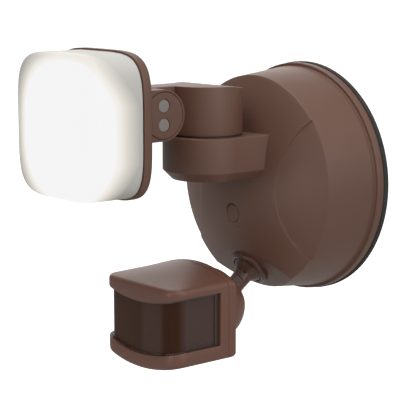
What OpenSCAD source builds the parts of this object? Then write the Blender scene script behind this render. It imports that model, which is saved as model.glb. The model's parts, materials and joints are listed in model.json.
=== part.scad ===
// Wall-mounted security light with one swivelling LED head and a motion sensor on a ball joint.
// The wall is the plane y = 0, the light points along -Y, and +Z is up.

/* [Canopy] */
// Outer diameter of the foam gasket on the wall
gasket_d = 125; // [118:0.5:132]
// Thickness of the gasket
gasket_t = 3; // [2:0.5:4]
// Width of the gasket's ring
gasket_w = 9; // [7:0.5:10]
// How far the gasket stands out around the canopy's lip
gasket_margin = 0.5; // [0.3:0.1:1]
// Depth of the lip
lip_t = 4.5; // [3:0.5:6]
// How far the lip stands out around the side wall
lip_ledge = 1.8; // [1.2:0.1:2.4]
// How much the side wall draws in from the lip to the rim of the domed front
side_draft = 3.2; // [2:0.1:4]
// Distance of the rim from the wall
rim_depth = 38.6; // [36:0.2:42]
// Height of the domed front above the rim
dome_h = 15.9; // [14:0.1:17]
// Wall thickness of the canopy
canopy_wall = 3; // [2:0.5:3.5]
// Angle of the flat facet under the front, away from straight ahead
facet_tilt = 39; // [35:1:43]
// Greatest depth of the facet's cut into the round rim
facet_cut = 8.5; // [6:0.5:10]
// Depth of the step at the two side facets
side_step = 0.8; // [0.4:0.1:1.5]
// Radius of the curved crease of a side facet
crease_r = 54.5; // [50:0.5:58]
// Distance of the crease's nearest point from the centre line
crease_x = 29.5; // [27:0.5:33]

/* [Arm boss] */
// Distance of the swivel axis from the wall
boss_y = 71.8; // [69:0.2:75]
// Radius of the boss
boss_r = 22.7; // [22:0.1:24]
// Height of the boss's top above the centre
boss_top = 28.1; // [26:0.1:30]
// Height of the boss, with its chamfer
boss_h = 22.7; // [21:0.1:24]
// Height of the chamfer under the boss
boss_chamfer = 4.8; // [3:0.1:6]
// Thickness of the boss's top, which carries the arm
boss_plate = 5; // [4:0.5:6]
// Thickness of the seal under the arm
seal_t = 0.8; // [0.5:0.1:1.5]

/* [Arm] */
// Radius of the arm's drum
drum_r = 19; // [18:0.1:21]
// Radius of the hollow spigot under the drum
spigot_r = 8; // [7:0.5:9]
// Radius of the wiring bore in the arm
bore_r = 4; // [3:0.25:4.5]
// Radius of the lug's round end, the arm's half of the knuckle
lug_r = 12; // [11.7:0.1:12.4]
// Distance of the lug's inner face from the middle
lug_inset = 2; // [0:0.5:3]
// Radius of the lug's round hub, which carries the head's ear
knuckle_hub_r = 10.5; // [10:0.1:11]
// Fall of the arm's top towards the wall, behind the swivel axis
top_fall = 7; // [0:1:10]
// Thickness of the swivel nut
nut_t = 6; // [4:0.5:6]
// Width of the swivel nut across its flats
nut_flats = 22; // [20:0.5:24]
// Radial play of the spigot and the pivot disc in their bores
bearing_play = 0.2; // [0.1:0.05:0.3]

/* [Tilt pivot] */
// Distance of the tilt axis from the wall
pivot_y = 112.9; // [111:0.2:116]
// Height of the tilt axis above the centre
pivot_z = 42; // [41:0.2:44]
// Distance of the knuckle's two outer faces from the middle
knuckle_half = 17; // [16:0.5:18]
// Thickness of the head's ear
ear_t = 9; // [8:0.5:10]
// Radius of the ear's round end
ear_r = 12.8; // [12.6:0.1:13.6]
// Thickness of the friction washer between ear and hub
washer_t = 0.5; // [0.3:0.1:1]
// Radius of the pivot disc's flange
disc_r = 11.6; // [11:0.1:11.9]
// Thickness of the pivot disc's flange
disc_t = 2; // [1.5:0.5:3]
// Radius of the pivot disc's hub, the bearing of the tilt
hub_r = 8.5; // [8.3:0.1:9]
// Distance between the two screws of the pivot disc
pivot_screw_gap = 9.4; // [9:0.1:9.6]
// Diameter of the heads of the pivot screws
pivot_head_d = 6.7; // [6:0.1:7]

/* [Light head] */
// Height of the head's centre above the canopy's centre
head_z = 38.8; // [37:0.2:41]
// Width and height of the head
head_w = 72.6; // [70:0.2:76]
// Radius of the head's corners, seen from the front
head_corner = 19; // [15:0.5:22]
// Distance of the head's back from the wall
head_back = 134.9; // [133:0.1:138]
// Depth of the head's metal pan
pan_t = 5.2; // [5:0.1:6]
// Wall thickness of the pan
pan_wall = 2; // [1.5:0.25:2.5]
// Depth of the lens in front of the pan
lens_t = 26; // [22:0.5:30]
// How far the lens stands inside the pan's outline
lens_inset = 0.9; // [0.5:0.1:1.5]
// Wall thickness of the lens
lens_wall = 2.2; // [1.5:0.1:2.5]
// Radius of the lens's front edge
lens_edge = 8; // [6:0.5:10]
// Radius of the gentle crown on the lens's front
lens_crown = 350; // [250:10:500]
// Thickness of the seal between pan and lens
lens_seal_t = 0.4; // [0.3:0.1:0.8]
// Radius of the round LED board
board_r = 27; // [26:0.5:28]
// Number of LED rows and columns on the board
led_rows = 4; // [2:1:5]
// Distance between neighbouring LEDs
led_pitch = 8.5; // [6:0.5:8.5]

/* [Sensor] */
// Distance of the ball's centre from the facet, along the stem
stem_l = 30; // [28:0.5:33]
// Distance from the facet's lower rim line up to the stem's axis, along the facet
stem_up = 3.1; // [2:0.1:4]
// Radius of the stem's thread and of its neck at the ball
stem_r = 4; // [3.5:0.1:4.2]
// Radius of the stem between its foot and the neck
shaft_r = 4.8; // [4.4:0.1:4.9]
// Radius of the ball
ball_r = 8; // [7.6:0.1:8.2]
// Radius of the dark collar on the facet
collar_r = 11.3; // [10.5:0.1:12.5]
// Width of the sensor
sensor_w = 60; // [56:0.5:66]
// Height of the sensor at its middle
sensor_h = 43.8; // [42:0.2:48]
// Distance from the ball's centre forward to the sensor's back
hub_depth = 13.135; // [12.5:0.005:13.5]
// Depth of the sensor, from its back to its front
sensor_depth = 41.5; // [38:0.5:44]
// Thickness of the sensor's back cover, up to the seam
rear_t = 4; // [3.6:0.1:4.8]
// Height of the sensor's top front edge above the ball's centre
sensor_rise = 20.7; // [19:0.1:22]
// Radius of the sensor's front corners, seen from above
sensor_corner = 8; // [6:0.5:12]
// Radius of the sensor's gently curved front, seen from above
sensor_bow = 225; // [180:5:300]
// Radius of the curved lower edges of body and window
smile_r = 100; // [90:5:160]
// Height of the crown on the sensor's top at its back
crown_h = 6.5; // [4:0.1:7.5]
// Wall thickness of the sensor's shells
sensor_wall = 2.2; // [1.8:0.1:2.5]
// Height of the visor over the window, at the middle
visor_h = 8.8; // [7:0.1:10]
// Height of the lip under the window
lip_h = 7.5; // [6.5:0.1:9]
// Depth of the frame left beside the window's ends
side_frame = 7.7; // [7:0.1:10]
// Thickness of the infrared lens
pir_t = 1; // [0.8:0.1:1.5]
// Radius of the round hub on the sensor's back
sensor_hub_r = 20; // [19.6:0.1:21]
// Radius of the two control dials
dial_r = 4.5; // [4:0.1:5]
// Height of the dials' faces above the lowest line of the sensor's underside
dial_sink = 1.6; // [1.4:0.1:2.5]
// Thickness of a dial
dial_t = 4.5; // [4:0.5:6]

/* [Wall mount] */
// Distance from the middle of a slot for a box screw to the crossbar's end
slot_margin = 7.05; // [6.5:0.05:9]
// Width of a slot
slot_w = 4.8; // [4.4:0.1:5]
// Length of a slot
slot_l = 10; // [8:0.5:12]
// Room between the crossbar's ends and the gasket
bar_room = 2; // [1:0.5:3]
// Height of the crossbar
bar_h = 24; // [20:1:26]
// Thickness of the crossbar
bar_t = 2; // [1.5:0.5:2.5]
// Distance of the mounting bolt below the centre
bolt_drop = 15.5; // [14:0.5:18]
// Radius of the mounting bolt
bolt_r = 2.4; // [2:0.1:2.6]
// Height of the mounting bolt's head
bolt_head_t = 3; // [2:0.5:4]
// Radius of the round plug over the mounting bolt
plug_r = 4.7; // [4.6:0.1:5]
// Depth of the pocket for bolt head and plug, from the dome's top
plug_pocket = 9; // [8:0.5:11]

/* [Driver] */
// Distance from the driver board's sides to the canopy's rim, level with the centre
driver_side_room = 29; // [27:0.5:32]
// Distance from the driver board's upper edge to the top of the canopy's rim
driver_top_room = 13; // [11.5:0.5:16]
// Height of the driver board's lower edge above the centre
driver_z = 12; // [10:1:14]
// Distance of the driver board from the wall
driver_y = 22; // [18:1:24]
// Thickness of a circuit board
board_t = 1.6; // [1:0.1:2]

/* [Hidden] */
$fn = 64;

// Overshoot of a cut past the face that it opens
over = 1;
// Gap between pieces that fit into each other without turning
fit_gap = 0.15;
// How much a blunt corner's arc is larger than the round that would touch both sides
blunting = 1.015;
// Colours as photographed
bronze = [0.36, 0.24, 0.19];
opal = [0.95, 0.94, 0.91];
steel = [0.70, 0.70, 0.72];
black = [0.12, 0.12, 0.12];
circuit = [0.10, 0.35, 0.20];

lip_d = gasket_d - 2 * gasket_margin;
side_d = lip_d - 2 * lip_ledge;
rim_r = side_d / 2 - side_draft;
facet_drop = rim_r - facet_cut;
bar_l = gasket_d - 2 * gasket_w - 2 * bar_room;
box_screws = bar_l - 2 * slot_margin;
ground_x = 22;
ground_r = 1.9;
ground_head_r = 4;
ground_head_t = 2.5;
driver_w = 2 * (rim_r - driver_side_room);
driver_h = rim_r - driver_top_room - driver_z;
driver_hole = 4;
driver_screw_l = 9;
transformer_w = 16;
transformer_t = 11;
capacitor_r = 5;
capacitor_t = 12;
coil_r = 4;
coil_t = 10;
rectifier_w = 6;
rectifier_h = 12;
rectifier_t = 7;
connector_w = 18;
connector_h = 8;
connector_t = 8;
dome_r = (rim_r * rim_r + dome_h * dome_h) / (2 * dome_h);
dome_top = rim_depth + dome_h;
groove_t = 1.2;
plug_depth = dome_top - plug_pocket;
plug_y = dome_top - bolt_drop * bolt_drop / (2 * dome_r) - 0.3;

arm_base = boss_top + seal_t;
arm_top = pivot_z + lug_r;
chamfer_in = boss_chamfer;
boss_floor = boss_top - boss_h;
swivel_washer_t = 1.5;
swivel_washer_r = nut_flats / 2 + 2;

ear_out = knuckle_half;
ear_in = ear_out - ear_t;
hub_face = ear_in - washer_t;
lug_w = knuckle_half - lug_inset;
recess_play = 0.2;
pivot_head_t = 2.4;
pivot_shank_r = 1.6;
pivot_bite = 6;

pan_front = head_back + pan_t;
lens_back = pan_front + lens_seal_t;
lens_w = head_w - 2 * lens_inset;
lens_corner = head_corner - lens_inset;
spigot_gap = 0.25;
lens_spigot_w = head_w - 2 * pan_wall - 2 * spigot_gap;
lens_spigot_corner = head_corner - pan_wall - spigot_gap;
pan_floor = head_back + pan_wall;
pad_t = 0.5;
board_back = pan_floor + pad_t;
board_front = board_back + board_t;
lens_post_r = 3;
lens_post_xy = lens_spigot_w / 2 - lens_wall - lens_post_r - 3.2;
small_screw_r = 1.3;
small_head_r = 2.6;
small_head_t = 1.8;
lens_screw_l = 9;
led_w = 3;
led_t = 0.8;
led_edge = 6.5;
led_wire_room = 5;
grommet_r = 5;

n_y = sin(90 - facet_tilt);
n_z = sin(facet_tilt);
stem_foot_y = -rim_depth - stem_up * n_z;
stem_foot_z = -facet_drop + stem_up * n_y;
ball_y = stem_foot_y - stem_l * n_y;
ball_z = stem_foot_z - stem_l * n_z;
cup_play = 0.15;
cup_t = 1.85;
cup_out = ball_r + cup_play + cup_t;
hub_bore = cup_out + 0.2;
stem_swing = 56;
sensor_back = hub_depth - ball_y;
sensor_seam = sensor_back + rear_t;
sensor_front = sensor_back + sensor_depth;
hub_sink = 6;
hub_y = -sensor_back + hub_sink;
sensor_top = ball_z + sensor_rise;
sensor_low = sensor_top - sensor_h;
sensor_mid = (sensor_top + sensor_low) / 2;
hub_z = sensor_mid + 3.3;
window_top = sensor_top - visor_h;
window_low = sensor_low + lip_h;
pir_gap = 0.2;
sensor_board_y = sensor_seam + 9;
can_r = 4.6;
seam_gap = 0.15;
shell_screw_x = sensor_w / 2 - 5.5;
shell_screw_z = sensor_top - 6;
lens_tuck = 2;
post_play = 0.4;
post_l = side_frame - lens_tuck - seam_gap - post_play;
shell_screw_l = rear_t + post_l - post_play;
retainer_t = 2;
retainer_r = hub_bore + 4.5;
retainer_screw_r = hub_bore + 2.2;
retainer_screw_l = 6;
stem_nut_t = 4;
stem_nut_flats = 13;
thread_l = canopy_wall + stem_nut_t + 1.5;
neck_l = ball_r + 5;
dial_y = (sensor_seam + sensor_front) / 2;
dial_x = 13;

// Turns a shape so that its own Z runs out from the wall and its Y runs up
module out_from_wall(depth = 0) {
    rotate([90, 0, 0]) translate([0, 0, depth]) children();
}

// Extrudes an outline drawn as x and depth through a height
module along_z(h) {
    mirror([0, 1, 0]) linear_extrude(h, center = true) children();
}

// Extrudes an outline drawn as height and depth through a width
module along_x(w) {
    mirror([0, 1, 0]) rotate([0, -90, 0]) linear_extrude(w, center = true) children();
}

// Turns a shape so that its own Z runs along the sensor's stem, away from the facet
module along_stem(t = 0) {
    translate([0, stem_foot_y, stem_foot_z])
        rotate([90 + facet_tilt, 0, 0])
            translate([0, 0, t]) children();
}

module round_square(w, h, r) {
    square([w - 2 * r, h], center = true);
    square([w, h - 2 * r], center = true);
    for (x = [-1, 1], y = [-1, 1])
        translate([x * (w / 2 - r), y * (h / 2 - r)]) circle(r = r);
}

// Outline with a straight back and two round front corners
module front_profile(w, d, r) {
    translate([-w / 2, 0]) square([w, d - r]);
    translate([-w / 2 + r, 0]) square([w - 2 * r, d]);
    for (x = [-1, 1]) translate([x * (w / 2 - r), d - r]) circle(r = r);
}

// Front profile whose corner arcs meet the straight sides at a slight angle
module blunt_profile(w, d, r) {
    intersection() {
        translate([-w / 2, 0]) square([w, d]);
        union() {
            translate([-w / 2, 0]) square([w, d - r]);
            translate([-w / 2 + r, 0]) square([w - 2 * r, d]);
            for (x = [-1, 1]) translate([x * (w / 2 - r), d - r]) circle(r = r * blunting);
        }
    }
}

module ring(h, r_out, r_in) {
    difference() {
        cylinder(h = h, r = r_out);
        translate([0, 0, -over]) cylinder(h = h + 2 * over, r = r_in);
    }
}

module hex(h, flats) {
    cylinder(h = h, r = flats / sqrt(3), $fn = 6);
}

// Cross-recess screw whose head stands on z = 0 and whose shank runs down
module screw(shank_r, shank_l, head_r, head_h) {
    slot = head_r * 0.3;
    difference() {
        cylinder(h = head_h, r = head_r);
        for (a = [0, 90])
            rotate(a) translate([-head_r * 0.55, -slot / 2, head_h * 0.5])
                cube([head_r * 1.1, slot, head_h]);
    }
    translate([0, 0, -shank_l]) cylinder(h = shank_l, r = shank_r);
}

// Solid of the canopy's body, every surface moved in by inset
module canopy_body(inset) {
    back = inset > 0 ? -over : 0;
    lip_r = inset > 0 ? side_d / 2 - inset : lip_d / 2;
    wall_r = side_d / 2 - inset;
    wall_back = lip_t + (inset > 0 ? 0 : groove_t);
    difference() {
        intersection() {
            out_from_wall(gasket_t) union() {
                translate([0, 0, back]) cylinder(h = lip_t - back, r = lip_r);
                translate([0, 0, back]) cylinder(h = lip_t + groove_t - back, r = wall_r - groove_t / 2);
                translate([0, 0, wall_back])
                    cylinder(h = rim_depth - gasket_t - wall_back, r1 = wall_r, r2 = rim_r - inset);
                translate([0, 0, rim_depth - gasket_t]) cylinder(h = dome_h, r = rim_r - inset);
            }
            translate([0, dome_r - dome_top, 0]) sphere(r = dome_r - inset, $fn = 128);
        }
        out_from_wall() translate([0, -facet_drop, rim_depth]) rotate([facet_tilt, 0, 0])
            translate([-gasket_d / 2, -gasket_d / 2, -inset]) cube([gasket_d, gasket_d, gasket_d]);
    }
}

// U-shaped boss that runs back into the dome, every surface moved in by inset
module boss_body(inset, top) {
    low = boss_floor + inset;
    r = boss_r - inset;
    back = rim_depth - over;
    translate([0, -boss_y, 0]) {
        translate([0, 0, low]) cylinder(h = chamfer_in, r1 = r - chamfer_in, r2 = r);
        translate([0, 0, low + chamfer_in]) cylinder(h = top - low - chamfer_in, r = r);
    }
    out_from_wall(back) linear_extrude(boss_y - back)
        polygon([[-r + chamfer_in, low], [r - chamfer_in, low], [r, low + chamfer_in], [r, top],
                 [-r, top], [-r, low + chamfer_in]]);
}

module driver_posts() {
    for (x = [-1, 1], z = [driver_hole, driver_h - driver_hole])
        translate([x * (driver_w / 2 - driver_hole), driver_z + z, 0]) children();
}

module wall_gasket() {
    color(black) out_from_wall() ring(gasket_t, gasket_d / 2, gasket_d / 2 - gasket_w);
}

module mounting_bracket() {
    color(steel) difference() {
        out_from_wall() linear_extrude(bar_t) difference() {
            union() {
                round_square(bar_l, bar_h, 4);
                translate([0, -bolt_drop + 2]) round_square(22, 24, 4);
            }
            for (x = [-1, 1], end = [-1, 1])
                translate([x * box_screws / 2 + end * (slot_l - slot_w) / 2, 0]) circle(d = slot_w);
            for (x = [-1, 1])
                translate([x * box_screws / 2, 0]) square([slot_l - slot_w, slot_w], center = true);
            circle(r = 7);
            translate([0, -bolt_drop]) circle(r = bolt_r + fit_gap / 2);
            translate([ground_x, 0]) circle(r = ground_r + fit_gap / 2);
        }
    }
}

module ground_screw() {
    color("green") out_from_wall(bar_t) translate([ground_x, 0, 0])
        screw(ground_r, bar_t, ground_head_r, ground_head_t);
}

module canopy() {
    color(bronze) difference() {
        union() {
            difference() {
                union() {
                    canopy_body(0);
                    boss_body(0, boss_top);
                }
                side_facets();
                canopy_body(canopy_wall);
                boss_cavity();
            }
            intersection() {
                canopy_body(0);
                union() {
                    out_from_wall(driver_y + board_t) driver_posts() cylinder(h = dome_top, r = 3);
                    out_from_wall(plug_depth - canopy_wall) translate([0, -bolt_drop, 0])
                        cylinder(h = dome_top, r = plug_r + canopy_wall);
                }
            }
        }
        out_from_wall(plug_depth) translate([0, -bolt_drop, 0])
            cylinder(h = dome_top, r = plug_r + bearing_play);
        out_from_wall(gasket_t) translate([0, -bolt_drop, 0])
            cylinder(h = dome_top - gasket_t, r = bolt_r + bearing_play);
        out_from_wall(driver_y) driver_posts() cylinder(h = 10, r = small_screw_r + fit_gap / 2);
        translate([0, -boss_y, boss_top - boss_plate - over])
            cylinder(h = boss_plate + 2 * over, r = spigot_r + bearing_play);
        along_stem(-canopy_wall - over)
            cylinder(h = canopy_wall + 2 * over, r = stem_r + fit_gap);
    }
}

module side_facets() {
    difference() {
        for (side = [-1, 1])
            out_from_wall(rim_depth / 2) translate([side * (crease_x + crease_r), 0, 0])
                cylinder(h = dome_top, r = crease_r, $fn = 96);
        translate([0, dome_r - dome_top, 0]) sphere(r = dome_r - side_step, $fn = 128);
    }
}

module boss_cavity() {
    boss_body(canopy_wall, boss_top - boss_plate);
}

module mounting_bolt() {
    color(steel) out_from_wall(plug_depth) translate([0, -bolt_drop, 0])
        screw(bolt_r, plug_depth - 0.5, plug_r - 0.3, bolt_head_t);
}

module screw_plug() {
    foot = plug_depth + bolt_head_t;
    color(bronze) out_from_wall(foot) translate([0, -bolt_drop, 0])
        cylinder(h = plug_y - foot, r = plug_r);
}

module driver_board() {
    color(circuit) difference() {
        out_from_wall(driver_y) translate([-driver_w / 2, driver_z, 0])
            cube([driver_w, driver_h, board_t]);
        out_from_wall(driver_y - over) driver_posts() cylinder(h = board_t + 2 * over, r = 1.6);
    }
}

module driver_parts() {
    face = driver_y + board_t;
    color(black) out_from_wall(face) {
        translate([-driver_w / 4 - transformer_w / 4, driver_z + (driver_h - transformer_w) / 2, 0])
            cube([transformer_w, transformer_w, transformer_t]);
        translate([driver_w / 9, driver_z + driver_h * 0.63, 0]) cylinder(h = capacitor_t, r = capacitor_r);
        translate([driver_w / 9, driver_z + driver_h / 4, 0]) cylinder(h = coil_t, r = coil_r);
        translate([driver_w / 4, driver_z + (driver_h - rectifier_h) / 2, 0])
            cube([rectifier_w, rectifier_h, rectifier_t]);
    }
    color("silver") out_from_wall(driver_y - connector_t)
        translate([-connector_w / 2, driver_z + connector_h / 3, 0])
            cube([connector_w, connector_h, connector_t]);
}

module driver_screws() {
    color(steel) out_from_wall(driver_y) mirror([0, 0, 1]) driver_posts()
        screw(small_screw_r, driver_screw_l, small_head_r, small_head_t);
}

module swivel_seal() {
    color(black) translate([0, -boss_y, boss_top]) ring(seal_t, drum_r - 0.8, spigot_r + bearing_play);
}

module swivel_arm() {
    spigot_low = boss_top - boss_plate - swivel_washer_t - nut_t - 0.6;
    channel_z = pivot_z;
    lug_mid = -knuckle_half + lug_w / 2;
    color(bronze) difference() {
        union() {
            translate([0, -boss_y, arm_base]) cylinder(h = arm_top - arm_base - 1, r = drum_r);
            translate([0, -boss_y, arm_top - 1]) cylinder(h = 1, r1 = drum_r, r2 = drum_r - 1);
            translate([0, -boss_y, spigot_low]) cylinder(h = arm_base - spigot_low + over, r = spigot_r);
            translate([-knuckle_half, -pivot_y, pivot_z - lug_r])
                cube([lug_w, pivot_y - boss_y, 2 * lug_r]);
            pivot_cylinder(-knuckle_half, lug_w, lug_r);
            pivot_cylinder(-lug_inset - over, hub_face + lug_inset + over, knuckle_hub_r);
        }
        translate([-2 * drum_r, -boss_y, arm_top]) rotate([-top_fall, 0, 0])
            cube([4 * drum_r, 2 * drum_r, drum_r]);
        translate([0, -boss_y, spigot_low - over])
            cylinder(h = channel_z - spigot_low + over, r = bore_r + 1);
        translate([lug_mid, -boss_y, channel_z]) rotate([0, 90, 0]) cylinder(h = -lug_mid, r = bore_r);
        out_from_wall(boss_y) translate([lug_mid, channel_z, 0])
            cylinder(h = pivot_y - boss_y + lug_r + over, r = bore_r);
        pivot_screw_places()
            pivot_cylinder(hub_face - pivot_bite, pivot_bite + over, pivot_shank_r + fit_gap / 2);
    }
}

// Cylinder on the tilt axis from x = start
module pivot_cylinder(start, l, r) {
    translate([start, -pivot_y, pivot_z]) rotate([0, 90, 0]) cylinder(h = l, r = r);
}

module pivot_screw_places() {
    for (z = [-1, 1]) translate([0, 0, z * pivot_screw_gap / 2]) children();
}

module swivel_washer() {
    color(steel) translate([0, -boss_y, boss_top - boss_plate - swivel_washer_t])
        ring(swivel_washer_t, swivel_washer_r, spigot_r + fit_gap);
}

module swivel_nut() {
    color(steel) translate([0, -boss_y, boss_top - boss_plate - swivel_washer_t - nut_t])
        difference() {
            hex(nut_t, nut_flats);
            translate([0, 0, -over]) cylinder(h = nut_t + 2 * over, r = spigot_r + fit_gap / 3);
        }
}

module tilt_washer() {
    color(black) difference() {
        pivot_cylinder(hub_face, washer_t, knuckle_hub_r - 0.2);
        pivot_cylinder(hub_face - over, washer_t + 2 * over, hub_r + fit_gap);
    }
}

module pivot_disc() {
    color(bronze) difference() {
        union() {
            pivot_cylinder(hub_face, ear_out - hub_face, hub_r);
            pivot_cylinder(ear_out - disc_t, disc_t, disc_r);
        }
        pivot_screw_places() {
            pivot_cylinder(ear_out - pivot_head_t, pivot_head_t + over, pivot_head_d / 2 + fit_gap / 2);
            pivot_cylinder(hub_face - over, ear_t + washer_t + over, pivot_shank_r + fit_gap / 2);
        }
    }
}

module pivot_screws() {
    seat = ear_out - pivot_head_t;
    color(steel) pivot_screw_places()
        translate([seat, -pivot_y, pivot_z]) rotate([0, 90, 0])
            screw(pivot_shank_r, seat - hub_face + pivot_bite - 0.5, pivot_head_d / 2, pivot_head_t);
}

// Puts children at the four corners of the head, with z running out from the wall
module head_corners(xy, depth) {
    for (x = [-1, 1], z = [-1, 1])
        out_from_wall(depth) translate([x * xy, head_z + z * xy, 0]) children();
}

module head_plate(depth, t, w, r) {
    out_from_wall(depth) translate([0, head_z, 0]) linear_extrude(t) round_square(w, w, r);
}

module head_shell() {
    color(bronze) difference() {
        union() {
            difference() {
                head_plate(head_back, pan_t, head_w, head_corner);
                head_plate(pan_floor, pan_t, head_w - 2 * pan_wall, head_corner - pan_wall);
            }
            pivot_cylinder(ear_in, ear_t, ear_r);
            translate([ear_in, -head_back - pan_wall / 2, pivot_z - ear_r])
                cube([ear_t, head_back + pan_wall / 2 - pivot_y, 2 * ear_r]);
        }
        pivot_cylinder(ear_in - over, ear_t + 2 * over, hub_r + bearing_play);
        pivot_cylinder(ear_out - disc_t, disc_t + over, disc_r + recess_play);
        head_corners(lens_post_xy, head_back - over)
            cylinder(h = pan_wall + 2 * over, r = small_screw_r + fit_gap);
        out_from_wall(head_back - over) translate([0, pivot_z, 0])
            cylinder(h = pan_wall + 2 * over, r = grommet_r);
        led_screw_places(head_back + pan_wall / 2)
            cylinder(h = pan_wall, r = small_screw_r + fit_gap / 2);
    }
}

module head_grommet() {
    color(black) difference() {
        union() {
            out_from_wall(head_back) translate([0, pivot_z, 0])
                cylinder(h = pan_wall + pad_t, r = grommet_r - fit_gap);
            out_from_wall(head_back - 1.5) translate([0, pivot_z, 0]) cylinder(h = 1.5, r = grommet_r + 2);
        }
        out_from_wall(head_back - 2.5) translate([0, pivot_z, 0]) cylinder(h = 12, r = 2.5);
    }
}

module led_screw_places(depth) {
    for (x = [-1, 1], z = [-1, 1])
        out_from_wall(depth) translate([x * board_r * 0.62, head_z + z * board_r * 0.62, 0]) children();
}

module thermal_pad() {
    color("gray") difference() {
        out_from_wall(pan_floor) translate([0, head_z, 0]) cylinder(h = pad_t, r = board_r - 1);
        out_from_wall(pan_floor - over) translate([0, pivot_z, 0])
            cylinder(h = pad_t + 2 * over, r = grommet_r + fit_gap);
        led_screw_places(pan_floor - over) cylinder(h = pad_t + 2 * over, r = small_screw_r + fit_gap);
    }
}

module led_board() {
    color("white") difference() {
        out_from_wall(board_back) translate([0, head_z, 0]) cylinder(h = board_t, r = board_r);
        out_from_wall(board_back - over) translate([0, pivot_z, 0])
            cylinder(h = board_t + 2 * over, r = 2.5);
        led_screw_places(board_back - over)
            cylinder(h = board_t + 2 * over, r = small_screw_r + fit_gap);
    }
}

module leds() {
    mid = (led_rows - 1) / 2;
    color("yellow") out_from_wall(board_front) for (x = [0:led_rows - 1], z = [0:led_rows - 1])
        translate([(x - mid) * led_pitch - led_w / 2, head_z + (z - mid) * led_pitch - led_w / 2, 0])
            if (norm([(x - mid) * led_pitch, (z - mid) * led_pitch]) < board_r - led_edge)
                if (norm([(x - mid) * led_pitch, head_z + (z - mid) * led_pitch - pivot_z]) > led_wire_room)
                    cube([led_w, led_w, led_t]);
}

module board_screws() {
    color(steel) led_screw_places(board_front)
        screw(small_screw_r, board_front - head_back - pan_wall / 2 - 0.2, small_head_r, small_head_t * 0.6);
}

module reflector() {
    r_foot = board_r - 3.5;
    r_mouth = lens_spigot_w / 2 - lens_wall - 0.8;
    h = 8;
    color("white") out_from_wall(board_front) translate([0, head_z, 0]) difference() {
        cylinder(h = h, r1 = r_foot + 1, r2 = r_mouth);
        translate([0, 0, -0.01]) cylinder(h = h + 0.02, r1 = r_foot, r2 = r_mouth - 1);
        for (x = [-1, 1], z = [-1, 1])
            translate([x * board_r * 0.62, z * board_r * 0.62, -over])
                cylinder(h = h, r = small_head_r + 0.5);
    }
}

module lens_seal() {
    color(black) difference() {
        head_plate(pan_front, lens_seal_t, lens_w - 0.6, lens_corner - 0.3);
        head_plate(pan_front - over, lens_seal_t + 2 * over, lens_spigot_w + fit_gap,
                   lens_spigot_corner + fit_gap / 2);
    }
}

// Soft square box with its back on y = 0 and a crowned front
module pillow(w, depth, corner, edge) {
    intersection() {
        out_from_wall() linear_extrude(depth) round_square(w, w, corner);
        along_z(w) front_profile(w, depth, edge);
        along_x(w) front_profile(w, depth, edge);
        translate([0, lens_crown - depth, 0]) sphere(r = lens_crown, $fn = 128);
    }
}

module lens() {
    inner_w = lens_spigot_w - 2 * lens_wall;
    inner_corner = lens_spigot_corner - lens_wall;
    spigot_back = board_back + 0.6;
    color(opal) difference() {
        union() {
            translate([0, -lens_back, head_z]) pillow(lens_w, lens_t, lens_corner, lens_edge);
            head_plate(spigot_back, lens_back - spigot_back + over, lens_spigot_w, lens_spigot_corner);
        }
        difference() {
            union() {
                translate([0, -lens_back, head_z])
                    pillow(lens_w - 2 * lens_wall, lens_t - lens_wall, lens_corner - lens_wall,
                           lens_edge - lens_wall);
                head_plate(spigot_back - over, lens_back - spigot_back + 2 * over, inner_w, inner_corner);
            }
            head_corners(lens_post_xy, spigot_back) cylinder(h = 9, r = lens_post_r);
        }
        head_corners(lens_post_xy, spigot_back - over) cylinder(h = 8, r = small_screw_r + fit_gap / 2);
    }
}

module lens_screws() {
    color(steel) out_from_wall(head_back) mirror([0, 0, 1])
        for (x = [-1, 1], z = [-1, 1])
            translate([x * lens_post_xy, head_z + z * lens_post_xy, 0])
                screw(small_screw_r, lens_screw_l, small_head_r, small_head_t);
}

module socket_collar() {
    color(black) along_stem() difference() {
        union() {
            cylinder(h = 2, r = collar_r);
            translate([0, 0, 2]) cylinder(h = 1, r1 = collar_r, r2 = collar_r - 1);
        }
        translate([0, 0, -over]) cylinder(h = 3 + 2 * over, r = collar_r - 2.5);
    }
}

module sensor_stem() {
    foot_r = collar_r - 2.5 - fit_gap;
    color(bronze) along_stem() difference() {
        union() {
            translate([0, 0, -thread_l]) cylinder(h = thread_l + 1, r = stem_r);
            cylinder(h = 2, r = foot_r);
            translate([0, 0, 2]) cylinder(h = 8, r1 = foot_r - 0.6, r2 = shaft_r);
            cylinder(h = stem_l - neck_l, r = shaft_r);
            cylinder(h = stem_l, r = stem_r);
            translate([0, 0, stem_l]) sphere(r = ball_r);
        }
        translate([0, 0, -thread_l - over]) cylinder(h = stem_l + thread_l + ball_r + 2 * over, r = 2);
    }
}

module stem_nut() {
    color(steel) along_stem(-canopy_wall - stem_nut_t) difference() {
        hex(stem_nut_t, stem_nut_flats);
        translate([0, 0, -over]) cylinder(h = stem_nut_t + 2 * over, r = stem_r + fit_gap / 3);
    }
}

module at_ball() {
    translate([0, ball_y, ball_z]) children();
}

// Cone from the ball's centre that gives the stem room to swing
module stem_room() {
    reach = 2 * sensor_hub_r;
    at_ball() rotate([facet_tilt - 90, 0, 0])
        cylinder(h = reach, r1 = 0, r2 = reach * tan(stem_swing));
}

module friction_cups() {
    color(black) difference() {
        at_ball() sphere(r = cup_out);
        at_ball() sphere(r = ball_r + cup_play);
        stem_room();
        at_ball() translate([-cup_out - over, -0.1, -cup_out - over])
            cube([2 * (cup_out + over), 0.2, 2 * (cup_out + over)]);
        at_ball() out_from_wall() cylinder(h = 2 * cup_out, r = 4);
    }
}

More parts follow.
